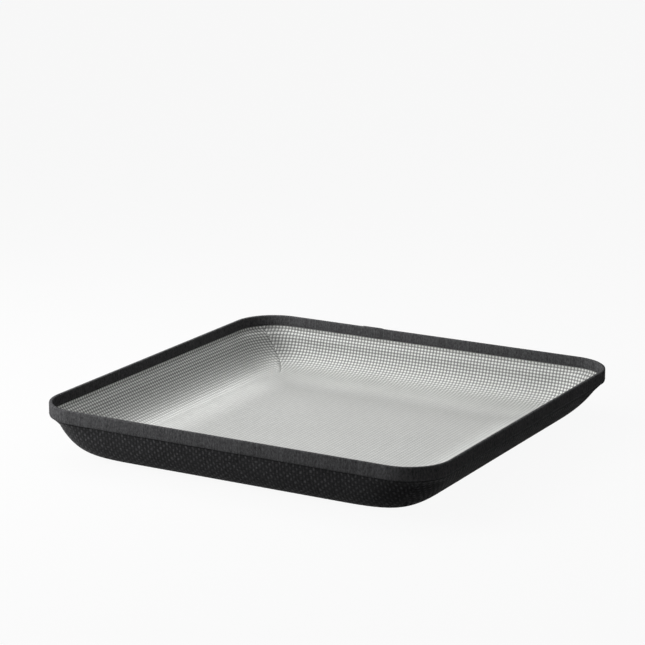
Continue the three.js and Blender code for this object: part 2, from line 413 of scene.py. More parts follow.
def cloth_tree():
    """A sheet cut flat in cells, with each cell's top raised, and then laid on the form by its flat layout.
    Even and odd cells take turns as on a chessboard. The layout's third value is the share of relief: over a
    half the cells are raised, and from there to the whole the sheet lies more and more loosely."""
    graph, given = geometry_tree("formed_cloth", CLOTH_INPUTS)
    form = given.out("Geometry")
    width, length = given.out("Width"), given.out("Length")
    across, along = given.out("Cells Across"), given.out("Cells Along")
    here = graph.node("GeometryNodeInputPosition")
    x, y, z = graph.split(here)

    def stored(name):
        return graph.node("GeometryNodeInputNamedAttribute", {"data_type": "FLOAT_VECTOR"}, {"Name": name})

    def moved(geometry, position, chosen=True):
        inputs = {"Geometry": geometry, "Selection": chosen, "Position": position}
        return graph.node("GeometryNodeSetPosition", None, inputs)

    def without(geometry, domain, chosen):
        inputs = {"Geometry": geometry, "Selection": chosen}
        return graph.node("GeometryNodeDeleteGeometry", {"domain": domain}, inputs)

    def extruded(mesh, **inputs):
        named = {name.replace("_", " "): given for name, given in inputs.items()}
        return graph.node("GeometryNodeExtrudeMesh", {"mode": "FACES"}, {"Mesh": mesh, **named})

    flat_x, flat_y, _ = graph.split(stored("layout"))
    flat_form = moved(form, graph.join(flat_x, flat_y))

    def on_form(name):
        """What the form holds at a place of the flat layout, or at the nearest one."""
        inputs = {"Mesh": flat_form, "Value": stored(name), "Sample Position": graph.join(x, y)}
        return graph.node("GeometryNodeSampleNearestSurface", {"data_type": "FLOAT_VECTOR"}, inputs)

    # The cut: whole cells inside the flat outline, and the outermost points drawn in to it
    grid = {"Size X": width, "Size Y": length, "Vertices X": across + 1, "Vertices Y": along + 1}
    found = graph.node(
        "GeometryNodeSampleUVSurface",
        {"data_type": "FLOAT_VECTOR"},
        {"Mesh": form, "Value": here, "UV Map": stored("layout"), "Sample UV": here},
    )
    outside = graph.node("FunctionNodeBooleanMath", {"operation": "NOT"}, {0: found.out("Is Valid")})
    cells = without(graph.node("GeometryNodeMeshGrid", None, grid), "FACE", outside)
    neighbours = graph.node("GeometryNodeInputMeshEdgeNeighbors")
    outline = without(flat_form, "EDGE", neighbours > 1)
    nearest = graph.node(
        "GeometryNodeProximity", {"target_element": "EDGES"}, {"Geometry": outline, "Sample Position": here}
    )
    border = graph.node(
        "GeometryNodeFieldOnDomain",
        {"data_type": "BOOLEAN", "domain": "EDGE"},
        {"Value": neighbours.math("LESS_THAN", 2)},
    )
    to_edge = graph.node("FunctionNodeBooleanMath", {"operation": "OR"}, {0: outside, 1: border})
    edge_x, edge_y, _ = graph.split(graph.scaled(nearest, EDGE_TUCK))
    on_edge = graph.join(edge_x, edge_y, z)
    cut = moved(cells, on_edge, to_edge)

    # The thickness: a raised copy with walls round it, over the cut turned face down
    raised = extruded(cut, Offset_Scale=given.out("Thickness"), Individual=False)
    under = graph.node("GeometryNodeFlipFaces", None, {"Mesh": cut})
    both = graph.node("GeometryNodeJoinGeometry", None, {"Geometry": raised})
    graph.tree.links.new(under.socket, both.socket.node.inputs["Geometry"])
    slab = graph.node("GeometryNodeMergeByDistance", None, {"Geometry": both, "Distance": WELD})

    # The relief: the top of each cell, raised and drawn in
    _, column = graph.cell(x, width, across)
    _, row = graph.cell(y, length, along)
    odd = (column + row) % 2
    _, _, share = graph.split(on_form("layout"))
    patterned = raised.out("Top") * (share > RAISED_FROM)

    def by_turn(name):
        return graph.blend(odd, *(given.out(f"{turn} {name}") for turn in TURNS))

    relief = extruded(slab, Selection=patterned, Offset_Scale=by_turn("Rise"), Individual=True)
    sheet = relief
    for name, axis in (("Top Across", (1, 0, 0)), ("Top Along", (0, 1, 0))):
        sheet = graph.node(
            "GeometryNodeScaleElements",
            {"domain": "FACE", "scale_mode": "SINGLE_AXIS"},
            {"Geometry": sheet, "Selection": relief.out("Top"), "Scale": by_turn(name), "Axis": axis},
        )
    sheet = graph.node(
        "GeometryNodeStoreNamedAttribute",
        {"data_type": "FLOAT_VECTOR", "domain": "POINT"},
        {"Geometry": moved(sheet, on_edge, outside), "Name": "flat", "Value": here},
    )

    # The laying: each point goes to its place on the form, with a little slack
    ripple = graph.noise(graph.join(x, y), SLACK_SCALE, 1.0) - 0.5
    loose = (share * 2 - 1).math("MAXIMUM", 0.0)
    height = z + ripple * loose * given.out("Slack")
    lift = graph.vector("NORMALIZE", on_form("lift"))
    laid = moved(sheet, graph.vector("ADD", on_form("place"), graph.scaled(lift, height)))
    return finish_tree(graph, laid, given.out("Material"))


def relief_inputs(*turns):
    """Inputs of the tree for even and for odd cells: the rise, and the top's share of a cell both ways."""
    return {
        f"{turn} {name}": size for turn, sizes in zip(TURNS, turns) for name, size in zip(RELIEF, sizes)
    }


def fan(first, columns, middle):
    """Faces from a closed ring of points to one in its middle."""
    return [(first + i, first + (i + 1) % columns, middle) for i in range(columns)]


def form_piece(name, face, flat, lift, relief):
    """A piece that starts as the bare form of one layer, open along its darts. Each point has its place
    there, its flat layout with its share of relief as the third value, and the way that relief rises."""
    rows, columns = face.shape[:2]
    middle = (0, 0, face[-1, 0, 2])
    points = np.concatenate([face.reshape(-1, 3), [middle]])
    faces = ring_quads(rows, columns) + fan((rows - 1) * columns, columns, len(points) - 1)
    piece = new_piece(name, points, [ends for ends in faces if ends[0] % len(DART_HALVES) != DART])
    layout = np.zeros((len(points), 3))
    layout[:-1, :2] = flat.reshape(-1, 2)
    layout[:, 2] = np.append(np.repeat(relief, columns), relief[-1])
    add_vectors(piece.data, "layout", layout)
    add_vectors(piece.data, "place", points)
    add_vectors(piece.data, "lift", np.concatenate([lift.reshape(-1, 3), lift[-1, :1]]))
    return piece


def face_of_loops(mesh):
    return np.repeat(np.arange(len(mesh.polygons)), read(mesh.polygons, "loop_total"))


def add_map(mesh, name, places):
    layer = mesh.uv_layers.new(name=name)
    layer.data.foreach_set("uv", np.asarray(places, np.float32).ravel())


# A sheet's map: the size and the place of the hidden face's patch, and the room round the shown face
HIDDEN_PATCH = 0.02
HIDDEN_FROM = 1.1
MAP_MARGIN = 1.02


def map_sheet(mesh, cells):
    """Two maps of a sheet: Cloth in metres, and one in which its hidden face shrinks to a corner."""
    flat = read(mesh.attributes["flat"].data, "vector", 3, np.float32)[read(mesh.loops, "vertex_index")]
    add_map(mesh, "Cloth", flat[:, :2])
    face = face_of_loops(mesh)
    top = np.full(len(mesh.polygons), -np.inf)
    np.maximum.at(top, face, flat[:, 2])
    spread = flat[:, :2] / (max(cells.width, cells.length) * MAP_MARGIN) + 0.5
    hidden = (top <= WELD)[face]
    spread[hidden] = 1 - HIDDEN_PATCH * (HIDDEN_FROM - spread[hidden])
    add_map(mesh, "OFBake", spread)


def loop_area(loop):
    """Area inside a closed line."""
    x, y = loop[:, 0], loop[:, 1]
    return abs(np.dot(x, np.roll(y, -1)) - np.dot(y, np.roll(x, -1))) / 2


def flat_area(flat):
    """Area of a cut sheet: inside its outline, less its four darts."""
    dart = np.concatenate([flat[:, DART], flat[::-1, DART + 1]])
    return loop_area(flat[0]) - 4 * loop_area(dart)


def flat_size(flat):
    """Width and length of a flat layout."""
    return tuple(2 * flat[0].max(axis=0))


class Cells:
    """The grid of cells that covers a flat layout: its width and length, and how many cells lie each way."""

    def __init__(self, layout, cell):
        self.width, self.length = flat_size(layout)
        self.across = round(self.width / cell[0])
        self.along = round(self.length / cell[1])

    def inputs(self):
        sizes = {"Width": self.width, "Length": self.length}
        return {**sizes, "Cells Across": self.across, "Cells Along": self.along}


def lay_sheet(name, face, layout, lift, relief, cells, given):
    """A whole sheet on the form of one layer, with its flat layout, the way it rises and its relief."""
    piece = form_piece(name, TrayForm.cut(face), layout, TrayForm.cut(lift), relief)
    grow(piece, cloth_tree(), {**cells.inputs(), **given})
    map_sheet(piece.data, cells)
    shade_smooth(piece.data)
    return piece


class Finish(Graph):
    """The nodes of a new material, round one surface shader."""

    def __init__(self, name, colour):
        self.material = bpy.data.materials.new(name)
        self.material.use_nodes = True
        super().__init__(self.material.node_tree)
        self.colour = tuple(colour)

    def surface(self, level, roughness, height, depth, constants=None, strength=1.0):
        """Makes the shader from the colour's level, the roughness, the height and depth of its bumps, and
        constants on its own sockets. Returns the material."""
        bumps = {"Height": height, "Distance": depth, "Strength": strength}
        inputs = {
            "Base Color": self.scaled(self.colour, level),
            "Roughness": roughness,
            "Normal": self.node("ShaderNodeBump", None, bumps),
            **(constants or {}),
        }
        return self.made_of(self.node("ShaderNodeBsdfPrincipled", None, inputs))

    def made_of(self, shader):
        self.node("ShaderNodeOutputMaterial", None, {"Surface": shader})
        return self.material

    def object_place(self):
        return self.node("ShaderNodeTexCoord").out("Object")

    def cloth_place(self):
        """Place on the flat cloth, in metres."""
        return self.split(self.node("ShaderNodeUVMap", {"uv_map": "Cloth"}))

    def cell_place(self, cells):
        """Place on the cloth in metres, a cell's column and row, and the place from the cell's middle."""
        u, v, _ = self.cloth_place()
        x, column = self.cell(u, cells.width, cells.across)
        y, row = self.cell(v, cells.length, cells.along)
        return (u, v), (column, row), (x - column - 0.5, y - row - 0.5)

    @staticmethod
    def wave(value):
        """A wave from 0 to 1, one turn for each unit."""
        return (value * (2 * math.pi)).math("SINE") * 0.5 + 0.5

    def speckle(self, *indexes):
        """A fixed random number for each cell."""
        place = self.join(*indexes)
        return self.node("ShaderNodeTexWhiteNoise", {"noise_dimensions": "3D"}, {"Vector": place})


# Canvas: filaments in a yarn and their twist, the top of a float as shares of its cell, unevenness to the
# metre, and where in a cell an upright and a lying yarn's top, which is painted lighter as a highlight, fades
# out and is full
FILAMENTS = 5
YARN_TWIST = 1.0
FLOAT_TOP = (0.6, 0.86)
STRAYS, CANVAS_CLOUDS, FLECKS = 150, 14, 320
STRAY_ASIDE = 0.9
UPRIGHT_ASIDE, UPRIGHT_AHEAD = (0.42, 0.08), (0.68, 0.22)
LYING_ASIDE, LYING_AHEAD = (0.5, 0.2), (0.4, 0.1)
LYING_SHOWS = 0.2
CANVAS_BUMP = 0.12 * MM


def canvas_finish(colour, cells):
    """Black canvas: yarns that go over and under each other. The top of each float is painted lighter as a
    highlight, with its filaments and a random tone from float to float in it.
    """
    finish = Finish("black_canvas", colour)
    (u, v), (column, row), (x, y) = finish.cell_place(cells)
    place = finish.join(u, v)
    odd = (column + row) % 2
    crossways, lengthways = finish.blend(odd, x, y), finish.blend(odd, y, x)
    filament = finish.wave(crossways * FILAMENTS + lengthways * YARN_TWIST)
    tone = finish.speckle(column, row + odd * y.math("SIGN"))
    stray = finish.noise(place, STRAYS, 1) - 0.5
    aside, ahead = (x + stray * STRAY_ASIDE).math("ABSOLUTE"), y.math("ABSOLUTE")
    from_float = finish.blend(odd, ahead, 1 - ahead) + stray
    upright = finish.step(aside, *UPRIGHT_ASIDE) * finish.step(from_float, *UPRIGHT_AHEAD)
    lying = odd * finish.step(aside, *LYING_ASIDE) * finish.step(ahead, *LYING_AHEAD)
    float_top_and_highlight = upright + lying * LYING_SHOWS
    cloud = finish.noise(place, CANVAS_CLOUDS, 3)
    fleck = finish.noise(place, FLECKS, 2, 0.7)
    # Painted highlight: the top of each float is lighter, with its filaments and a random tone from float to
    # float
    float_highlight = 0.6 + filament * 0.3 + tone * 1.15
    level = 0.235 + cloud * 0.365 + fleck * 0.73 + float_top_and_highlight * float_highlight
    roughness = 0.66 - float_top_and_highlight * 0.16 + cloud * 0.08
    height = float_top_and_highlight * 0.6 + filament * 0.4
    gloss = {"Specular IOR Level": 0.007, "Sheen Weight": 0.08, "Sheen Roughness": 0.4}
    return finish.surface(level, roughness, height, CANVAS_BUMP, gloss)


# Film: distances from its middle over which the painted darkening of its floor's middle ends and the painted
# shade of its grooves comes to full, the top of a dot as a share of its cell, how far inside that the groove
# starts, and unevenness to the metre
DIM_MIDDLE_END = (0.16, 0.23)
GROOVE_SHADE_FROM = (0.22, 0.31)
FILM_TOP = 0.58
GROOVE_INSIDE = 0.06
FILM_CLOUDS, SCUFFS, CRINKLES = 6, 90, 420
SCUFF_STRETCH = (4, 1, 1)
FILM_BUMP = 0.03 * MM


def film_finish(colour, cells):
    """Metallised film, embossed, with the faint marks of handling. Its grooves are painted darker as shade,
    less so on the floor, and the floor's middle is painted darker, standing in for a dimmer reflection.
    """
    finish = Finish("silver_film", colour)
    (u, v), (column, row), (x, y) = finish.cell_place(cells)
    place = finish.join(u, v)
    from_centre = u.math("ABSOLUTE").math("MAXIMUM", v.math("ABSOLUTE"))
    beyond_dim_middle, full_groove_shade = finish.step(from_centre, *DIM_MIDDLE_END), finish.step(from_centre, *GROOVE_SHADE_FROM)
    cloud = finish.noise(place, FILM_CLOUDS, 3)
    scuff = finish.noise(finish.vector("MULTIPLY", place, SCUFF_STRETCH), SCUFFS, 4, 0.6)
    crinkle = finish.noise(place, CRINKLES, 2)
    cell = finish.speckle(column, row)
    from_middle = (x * x + y * y).math("SQRT")
    groove = finish.step(from_middle, FILM_TOP / 2 - GROOVE_INSIDE, 0.5)
    # Painted shade: grooves darker, weaker on the floor; the floor's middle darker as a painted dim
    # reflection
    shade = (1 - groove * (0.22 + full_groove_shade * 0.46)) * (0.68 + beyond_dim_middle * 0.32)
    level = (0.9 + cloud * 0.12 - scuff * 0.04 + cell * 0.06) * shade
    roughness = 0.3 + cloud * 0.08 + scuff * 0.05 + cell * 0.03 + groove * 0.1
    return finish.surface(level, roughness, crinkle, FILM_BUMP, {"Metallic": 0.72}, strength=0.6)


# Webbing: its threads, and its unevenness to the metre
THREAD_PITCH = 0.5 * MM
STREAKS, WEBBING_CLOUDS, FIBRES = 460, 22, 900
STREAK_STRETCH = 0.45
FIBRE_STRETCH = (3, 0.4)
WEBBING_BUMP = 0.08 * MM


def webbing_finish(colour, rib_pitch):
    """Grosgrain tape: fine threads over ribs, some paler than others."""
    finish = Finish("black_webbing", colour)
    u, v, _ = finish.cloth_place()
    rib = (u / rib_pitch).math("FLOOR")
    tone = finish.speckle(rib, 0.0)
    thread = finish.wave(v / THREAD_PITCH + rib * 0.5)
    streak = finish.noise(finish.join(u, v * STREAK_STRETCH), STREAKS, 3, 0.75)
    cloud = finish.noise(finish.join(u, v), WEBBING_CLOUDS, 3)
    fibre = finish.noise(finish.join(u * FIBRE_STRETCH[0], v * FIBRE_STRETCH[1]), FIBRES, 2, 0.7)
    level = tone * 0.3 + thread * 0.1 + streak * 2.8 + cloud * 0.2 + fibre * 0.9 - 1.15
    height = thread * 0.5 + fibre * 0.5
    return finish.surface(level, 0.78 + fibre * 0.15, height, WEBBING_BUMP, {"Specular IOR Level": 0.04})


# Thread, foam and strip: their unevenness to the metre and the depth of their bumps
TWISTS, THREAD_BUMP = 1800, 0.1 * MM
FOAM_CELLS, FOAM_CLOUDS, FOAM_BUMP = 1400, 30, 0.3 * MM
DRAW_LINES, STRIP_CLOUDS, STRIP_BUMP = 2600, 40, 0.02 * MM
LINE_STRETCH = 0.02


def thread_finish(colour):
    """Sewing thread, a little glossier than the tape."""
    finish = Finish("sewing_thread", colour)
    twist = finish.noise(finish.object_place(), TWISTS, 2)
    return finish.surface(0.7 + twist * 0.6, 0.5 + twist * 0.2, twist, THREAD_BUMP, {"Sheen Weight": 0.1})


def foam_finish(colour):
    """Closed-cell foam with its fine open-cut cells."""
    finish = Finish("grey_foam", colour)
    place = finish.object_place()
    cells = finish.node("ShaderNodeTexVoronoi", None, {"Vector": place, "Scale": FOAM_CELLS})
    cloud = finish.noise(place, FOAM_CLOUDS, 2)
    return finish.surface(0.6 + cells * 0.5 + cloud * 0.3, 0.85 + cells * 0.12, cells, FOAM_BUMP)


def strip_finish(colour):
    """Extruded plastic with faint draw lines along its length."""
    finish = Finish("extruded_strip", colour)
    x, y, z = finish.split(finish.object_place())
    lines = finish.noise(finish.join(x * LINE_STRETCH, y * LINE_STRETCH, z), DRAW_LINES, 2)
    cloud = finish.noise(finish.join(x, y, z), STRIP_CLOUDS, 2)
    return finish.surface(0.8 + cloud * 0.4, 0.42 + lines * 0.15, lines, STRIP_BUMP)


def rim_place(distance, sizes, offset):
    """Points on the rim's outer face, by distance along its back from the right, set out by an offset."""
    radius = sizes.corner_radius
    side = sizes.rim_side - 2 * radius
    quarter, local = np.divmod(distance, side + radius * math.pi / 2)
    bend = np.clip(local - side, 0, None) / radius
    x = side / 2 - np.minimum(local, side) - np.sin(bend) * (radius + offset)
    y = side / 2 + np.cos(bend) * (radius + offset)
    turn = quarter * (math.pi / 2)
    cosine, sine = np.cos(turn), np.sin(turn)
    return np.stack([x * cosine - y * sine, x * sine + y * cosine], axis=-1)


# The tape's fold and flaps, its ribs, and how far, in how many waves round the rim and with what phases its
# two edges wander
FOLD_RADIUS = 1.5 * MM
FOLD_STEPS = 4
HEM_POINTS = 4
FLAP_LEAN = 0.6 * MM
INNER_LEAN = 0.12 * MM
LEAN_HEIGHT = 2.4 * MM
RIB_RISE = 0.2 * MM
RIB_TOOTH = 0.22 * MM
RIB_VARIES = 0.3
EDGE_WANDER = 0.12 * MM
LONG_WAVES, SHORT_WAVES = 31, 53
EDGE_PHASES = {0: 0.0, -1: 1.7}


def tape_section(sizes):
    """The tape's outer face across its width, as inset and height: up the outer flap, over and down."""
    centre = sizes.height - FOLD_RADIUS
    angles = np.linspace(0, math.pi / 2, FOLD_STEPS + 1)
    bend = [(FOLD_RADIUS * (1 - math.cos(a)), centre + FOLD_RADIUS * math.sin(a)) for a in angles]

    def flap(height, lean):
        """One flap from its lower edge, which leans in, to the top of the fold."""
        low = sizes.height - height
        hem = [(lean * (1 - t) ** 2, low + LEAN_HEIGHT * t) for t in np.linspace(0, 1, HEM_POINTS)]
        return hem + [(0.0, low + height / 2)] + bend

    outer = flap(sizes.band_height, FLAP_LEAN)
    inner = [(RIM_THICKNESS - inset, z) for inset, z in flap(sizes.inner_band_height, INNER_LEAN)]
    return np.array(outer + inner[::-1])


def tape_back(section):
    """The tape's hidden face, with only the points that its bends need, in the other direction."""
    top = section[:, 1].max() - TAPE_THICKNESS
    bevel = TAPE_THICKNESS / 2

    def flap(low, lean):
        """One flap from its lower edge to the top, as distance from its own face and height."""
        heights = (low, low + LEAN_HEIGHT, top - bevel, top)
        return [(TAPE_THICKNESS + inset, z) for inset, z in zip((lean, 0, 0, bevel), heights)]

    outer = flap(section[0, 1], FLAP_LEAN)
    inner = [(RIM_THICKNESS - inset, z) for inset, z in flap(section[-1, 1], INNER_LEAN)]
    return np.array(inner + outer[::-1])


class Tape:
    """The webbing tape as rows of points along the rim, with its ribs and its lap."""

    def __init__(self, sizes, rib_pitch):
        side = sizes.rim_side - 2 * sizes.corner_radius
        self.sizes = sizes
        self.start = side / 2 - LAP_CENTRE_X - LAP_LENGTH / 2
        self.length = 4 * side + 2 * math.pi * sizes.corner_radius + LAP_LENGTH
        ribs = round(self.length / rib_pitch)
        self.rib_pitch = self.length / ribs
        self.distance = np.linspace(0, self.length, 2 * ribs + 1)
        self.section = tape_section(sizes)
        across, up = np.gradient(self.section, axis=0).T
        self.normals = unit(np.stack([-up, across], axis=-1))
        steps = np.linalg.norm(np.diff(self.section, axis=0), axis=1)
        self.across = np.append(0, np.cumsum(steps))
        self.width = self.across[-1]

    def lapped(self, distance):
        """How far the tape has climbed over its own beginning."""
        meet = self.length - LAP_LENGTH
        return (TAPE_THICKNESS + LAP_GAP) * smooth(distance, meet - LAP_CLIMB, meet)

    def points(self, distance, inset, z, out):
        """Points at distances along the rim, one column for each point of a section, climbed along out."""
        climb = self.lapped(distance)[:, None]
        inset, z = inset + climb * out[:, 0], z + climb * out[:, 1]
        place = rim_place((self.start + distance)[:, None], self.sizes, -inset)
        return np.concatenate([place, z[..., None]], axis=-1)

    def mesh_points(self):
        """Every row's closed loop: the ribbed outer face, then the plain hidden one."""
        chance = np.random.default_rng(SEED)
        crest = np.arange(len(self.distance)) % 2
        varied = crest * (1 + RIB_VARIES * chance.uniform(-1, 1, len(crest)))
        rise = RIB_RISE * varied[:, None]
        inset = self.section[:, 0] + rise * self.normals[:, 0]
        z = self.section[:, 1] + rise * self.normals[:, 1]
        turns = 2 * math.pi * self.distance / self.length
        for edge, phase in EDGE_PHASES.items():
            wander = np.sin(LONG_WAVES * turns + phase) + np.sin(SHORT_WAVES * turns + 2 * phase)
            z[:, edge] -= RIB_TOOTH * varied + EDGE_WANDER * wander / 2
        front = self.points(self.distance, inset, z, self.normals)
        back = tape_back(self.section)
        hidden = self.points(self.distance, back[:, 0], back[:, 1], self.back_out(back))
        return np.concatenate([front, hidden], axis=1)

    @staticmethod
    def back_out(back):
        """Directions in which the hidden face climbs, away from the middle of the rim."""
        middle = RIM_THICKNESS / 2
        upper = back[:, 1] >= back[:, 1].max() - TAPE_THICKNESS / 4
        out = np.stack([np.sign(back[:, 0] - middle), np.zeros(len(back))], axis=-1)
        out[upper, 1] = 1
        return out


def tape_faces(rows, columns):
    """Faces of a strip with a closed section, with both ends closed."""
    last = (rows - 1) * columns
    ends = [list(range(columns - 1, -1, -1)), list(range(last, last + columns))]
    return ends + ring_quads(rows, columns)


def mark_ribs(mesh, columns, front):
    """Keeps the ribs and the tape's edges sharp, and all else smooth."""
    shade_smooth(mesh)
    ends = read(mesh.edges, "vertices", 2)
    row, place = ends // columns, ends % columns
    rib = row[:, 0] == row[:, 1]
    border = np.isin(place, (0, front - 1, front, columns - 1)).all(axis=1)
    sharp = mesh.attributes.new("sharp_edge", "BOOLEAN", "EDGE")
    sharp.data.foreach_set("value", rib | border)


# The tape's map: rows, the part of a row that is filled, and the edge left free
MAP_ROWS = 8
MAP_ROW_FILL = 0.94
MAP_EDGE = (0.01, 0.001)


def map_tape(mesh, tape, columns, front):
    """Two maps of the tape: Cloth in metres, and one in which it is cut into rows to fill a square."""
    corner = read(mesh.loops, "vertex_index")
    row, place = corner // columns, corner % columns
    hidden = place >= front
    along = tape.distance[row]
    across = np.append(tape.across, np.zeros(columns - front))[place]
    add_map(mesh, "Cloth", np.stack([along, across], axis=-1))
    face = face_of_loops(mesh)
    low = np.full(len(mesh.polygons), np.inf)
    np.minimum.at(low, face, along)
    row_length = tape.length / MAP_ROWS * (1 + WELD)
    map_row = np.floor(low / row_length)[face]
    u = (along - map_row * row_length) / row_length
    share = np.where(hidden, 1.0, across / tape.width * MAP_ROW_FILL)
    v = (map_row + share * MAP_ROW_FILL) / MAP_ROWS
    add_map(mesh, "OFBake", np.stack([u * MAP_ROW_FILL, v], axis=-1) + MAP_EDGE)


STITCH_INPUTS = {**dict.fromkeys(("Pitch", "Length", "Thread"), "Float"), "Material": "Material"}


def stitch_tree():
    """Short round stitches laid end to end along every line of the piece."""
    graph, given = geometry_tree("sewn_rows", STITCH_INPUTS)
    rows = graph.node("GeometryNodeMeshToCurve", None, {"Mesh": given.out("Geometry")})
    spaced = graph.node(
        "GeometryNodeResampleCurve", {"mode": "LENGTH"}, {"Curve": rows, "Length": given.out("Pitch")}
    )
    bead = graph.node("GeometryNodeMeshUVSphere", None, {"Segments": 7, "Rings": 6, "Radius": 0.5})
    thread = given.out("Thread")
    stitch = graph.node(
        "GeometryNodeTransform",
        None,
        {"Geometry": bead, "Scale": graph.join(given.out("Length"), thread, thread)},
    )
    way = graph.node(
        "FunctionNodeAlignRotationToVector",
        {"axis": "X"},
        {"Vector": graph.node("GeometryNodeInputTangent")},
    )
    sewn = graph.node(
        "GeometryNodeInstanceOnPoints", None, {"Points": spaced, "Instance": stitch, "Rotation": way}
    )
    plain = graph.node("GeometryNodeRealizeInstances", None, {"Geometry": sewn})
    rounded = graph.node("GeometryNodeSetShadeSmooth", None, {"Geometry": plain, "Shade Smooth": True})
    return finish_tree(graph, rounded, given.out("Material"))


def length_property(label, text, size):
    return bpy.props.FloatProperty(
        name=label, description=text, default=size, min=0.0, precision=5, unit="LENGTH"
    )


def colour_property(label, text, colour):
    return bpy.props.FloatVectorProperty(
        name=label, description=text, default=colour, min=0.0, max=1.0, size=3, subtype="COLOR"
    )


class TraySizes(bpy.types.PropertyGroup):
    """Sizes of the tray and of its cloth."""

    rim_side: length_property("Rim side", "Outside of the rim band, both ways", RIM_SIDE)
    height: length_property("Height", "Floor to the top of the rim", RIM_TOP)
    corner_radius: length_property("Corner radius", "Outside of the band, from above", 63 * MM)
    base_inset: length_property("Base inset", "From the band's face to the flat floor", BASE_INSET)
    band_height: length_property("Band height", "Of the tape outside the rim", RIM_TOP - RIM_LOW.z)
    inner_band_height: length_property("Inner band height", "Of the tape inside the rim", 15 * MM)
    yarn_across: length_property("Yarn across", "Width of a canvas yarn's float", 5.0 * MM)
    yarn_along: length_property("Yarn along", "Length of a canvas yarn's float", 4.2 * MM)
    film_pitch: length_property("Film pitch", "From dot to dot of the embossing", 5.3 * MM)
    film_rise: length_property("Film rise", "Height of the embossing", 0.4 * MM)
    rib_pitch: length_property("Rib pitch", "From rib to rib of the tape", 1.4 * MM)
    stitch_pitch: length_property("Stitch pitch", "From stitch to stitch", 4.2 * MM)


class TrayColours(bpy.types.PropertyGroup):
    """Colours of the tray's finishes."""

    canvas: colour_property("Canvas", "Outer skin", (0.024, 0.024, 0.025))
    film: colour_property("Film", "Metallised liner", (0.9, 0.91, 0.885))
    webbing: colour_property("Webbing", "Tape over the rim", (0.064, 0.064, 0.066))
    thread: colour_property("Thread", "Stitches", (0.02, 0.02, 0.021))
    foam: colour_property("Foam", "Hidden pads", (0.045, 0.046, 0.048))
    strip: colour_property("Strip", "Hidden stiffening strip", (0.01, 0.01, 0.011))
    floor: colour_property("Floor", "Studio floor", (0.42, 0.42, 0.42))


class TRAY_OT_canvas_skin(bpy.types.Operator):
    """Weave the outer canvas and stretch it round the tray"""

    bl_idname = "tray.canvas_skin"
    bl_label = "Canvas skin"
    ground_thickness = 0.5 * MM
    over_rise, under_rise = 0.24 * MM, 0.12 * MM
    slack = 0.3 * MM

    def execute(self, context):
        sizes, colours = context.scene.tray_sizes, context.scene.tray_colours
        form = TrayForm(sizes)
        face = form.layer(self.ground_thickness)
        flat = form.flat(face)
        cells = Cells(flat, (sizes.yarn_across, sizes.yarn_along))
        given = {
            **relief_inputs((self.over_rise, *FLOAT_TOP), (self.under_rise, *FLOAT_TOP[::-1])),
            "Thickness": self.ground_thickness,
            "Slack": self.slack,
            "Material": canvas_finish(colours.canvas, cells),
        }
        relief = smooth(form.share, 0, HEM_FADE) * smooth(form.share, 1, FLOOR_FADE)
        piece = lay_sheet("canvas_skin", face, flat, -form.inward, relief, cells, given)
        settle(piece, "canvas", "outer_canvas")
        flat_area(flat)
        return {"FINISHED"}


class TRAY_OT_film_liner(bpy.types.Operator):
    """Emboss the silver film and lay it in the tray"""

    bl_idname = "tray.film_liner"
    bl_label = "Film liner"
    ground_thickness = 0.12 * MM
    slack = 0.4 * MM
    wall_rows_closer = 1.15
    loose_from = 0.2
    relief_top, relief_gain = 0.6, 0.4

    def execute(self, context):
        sizes, colours = context.scene.tray_sizes, context.scene.tray_colours
        form = TrayForm(sizes)
        face = form.layer(form.liner_depth())
        flat = form.flat(face)
        layout = form.flat(face, self.wall_rows_closer)
        cells = Cells(layout, (sizes.film_pitch, sizes.film_pitch))
        dot = sizes.film_rise, FILM_TOP, FILM_TOP
        given = {
            **relief_inputs(dot, dot),
            "Thickness": self.ground_thickness,
            "Slack": self.slack,
            "Material": film_finish(colours.film, cells),
        }
        bare = form.z > sizes.height - sizes.inner_band_height
        gain = self.relief_gain * smooth(form.share, 0, self.loose_from)
        relief = np.where(bare, 0, self.relief_top + gain)
        piece = lay_sheet("film_liner", face, layout, form.inward, relief, cells, given)
        settle(piece, "film", "reflective_liner")
        flat_area(flat)
        return {"FINISHED"}


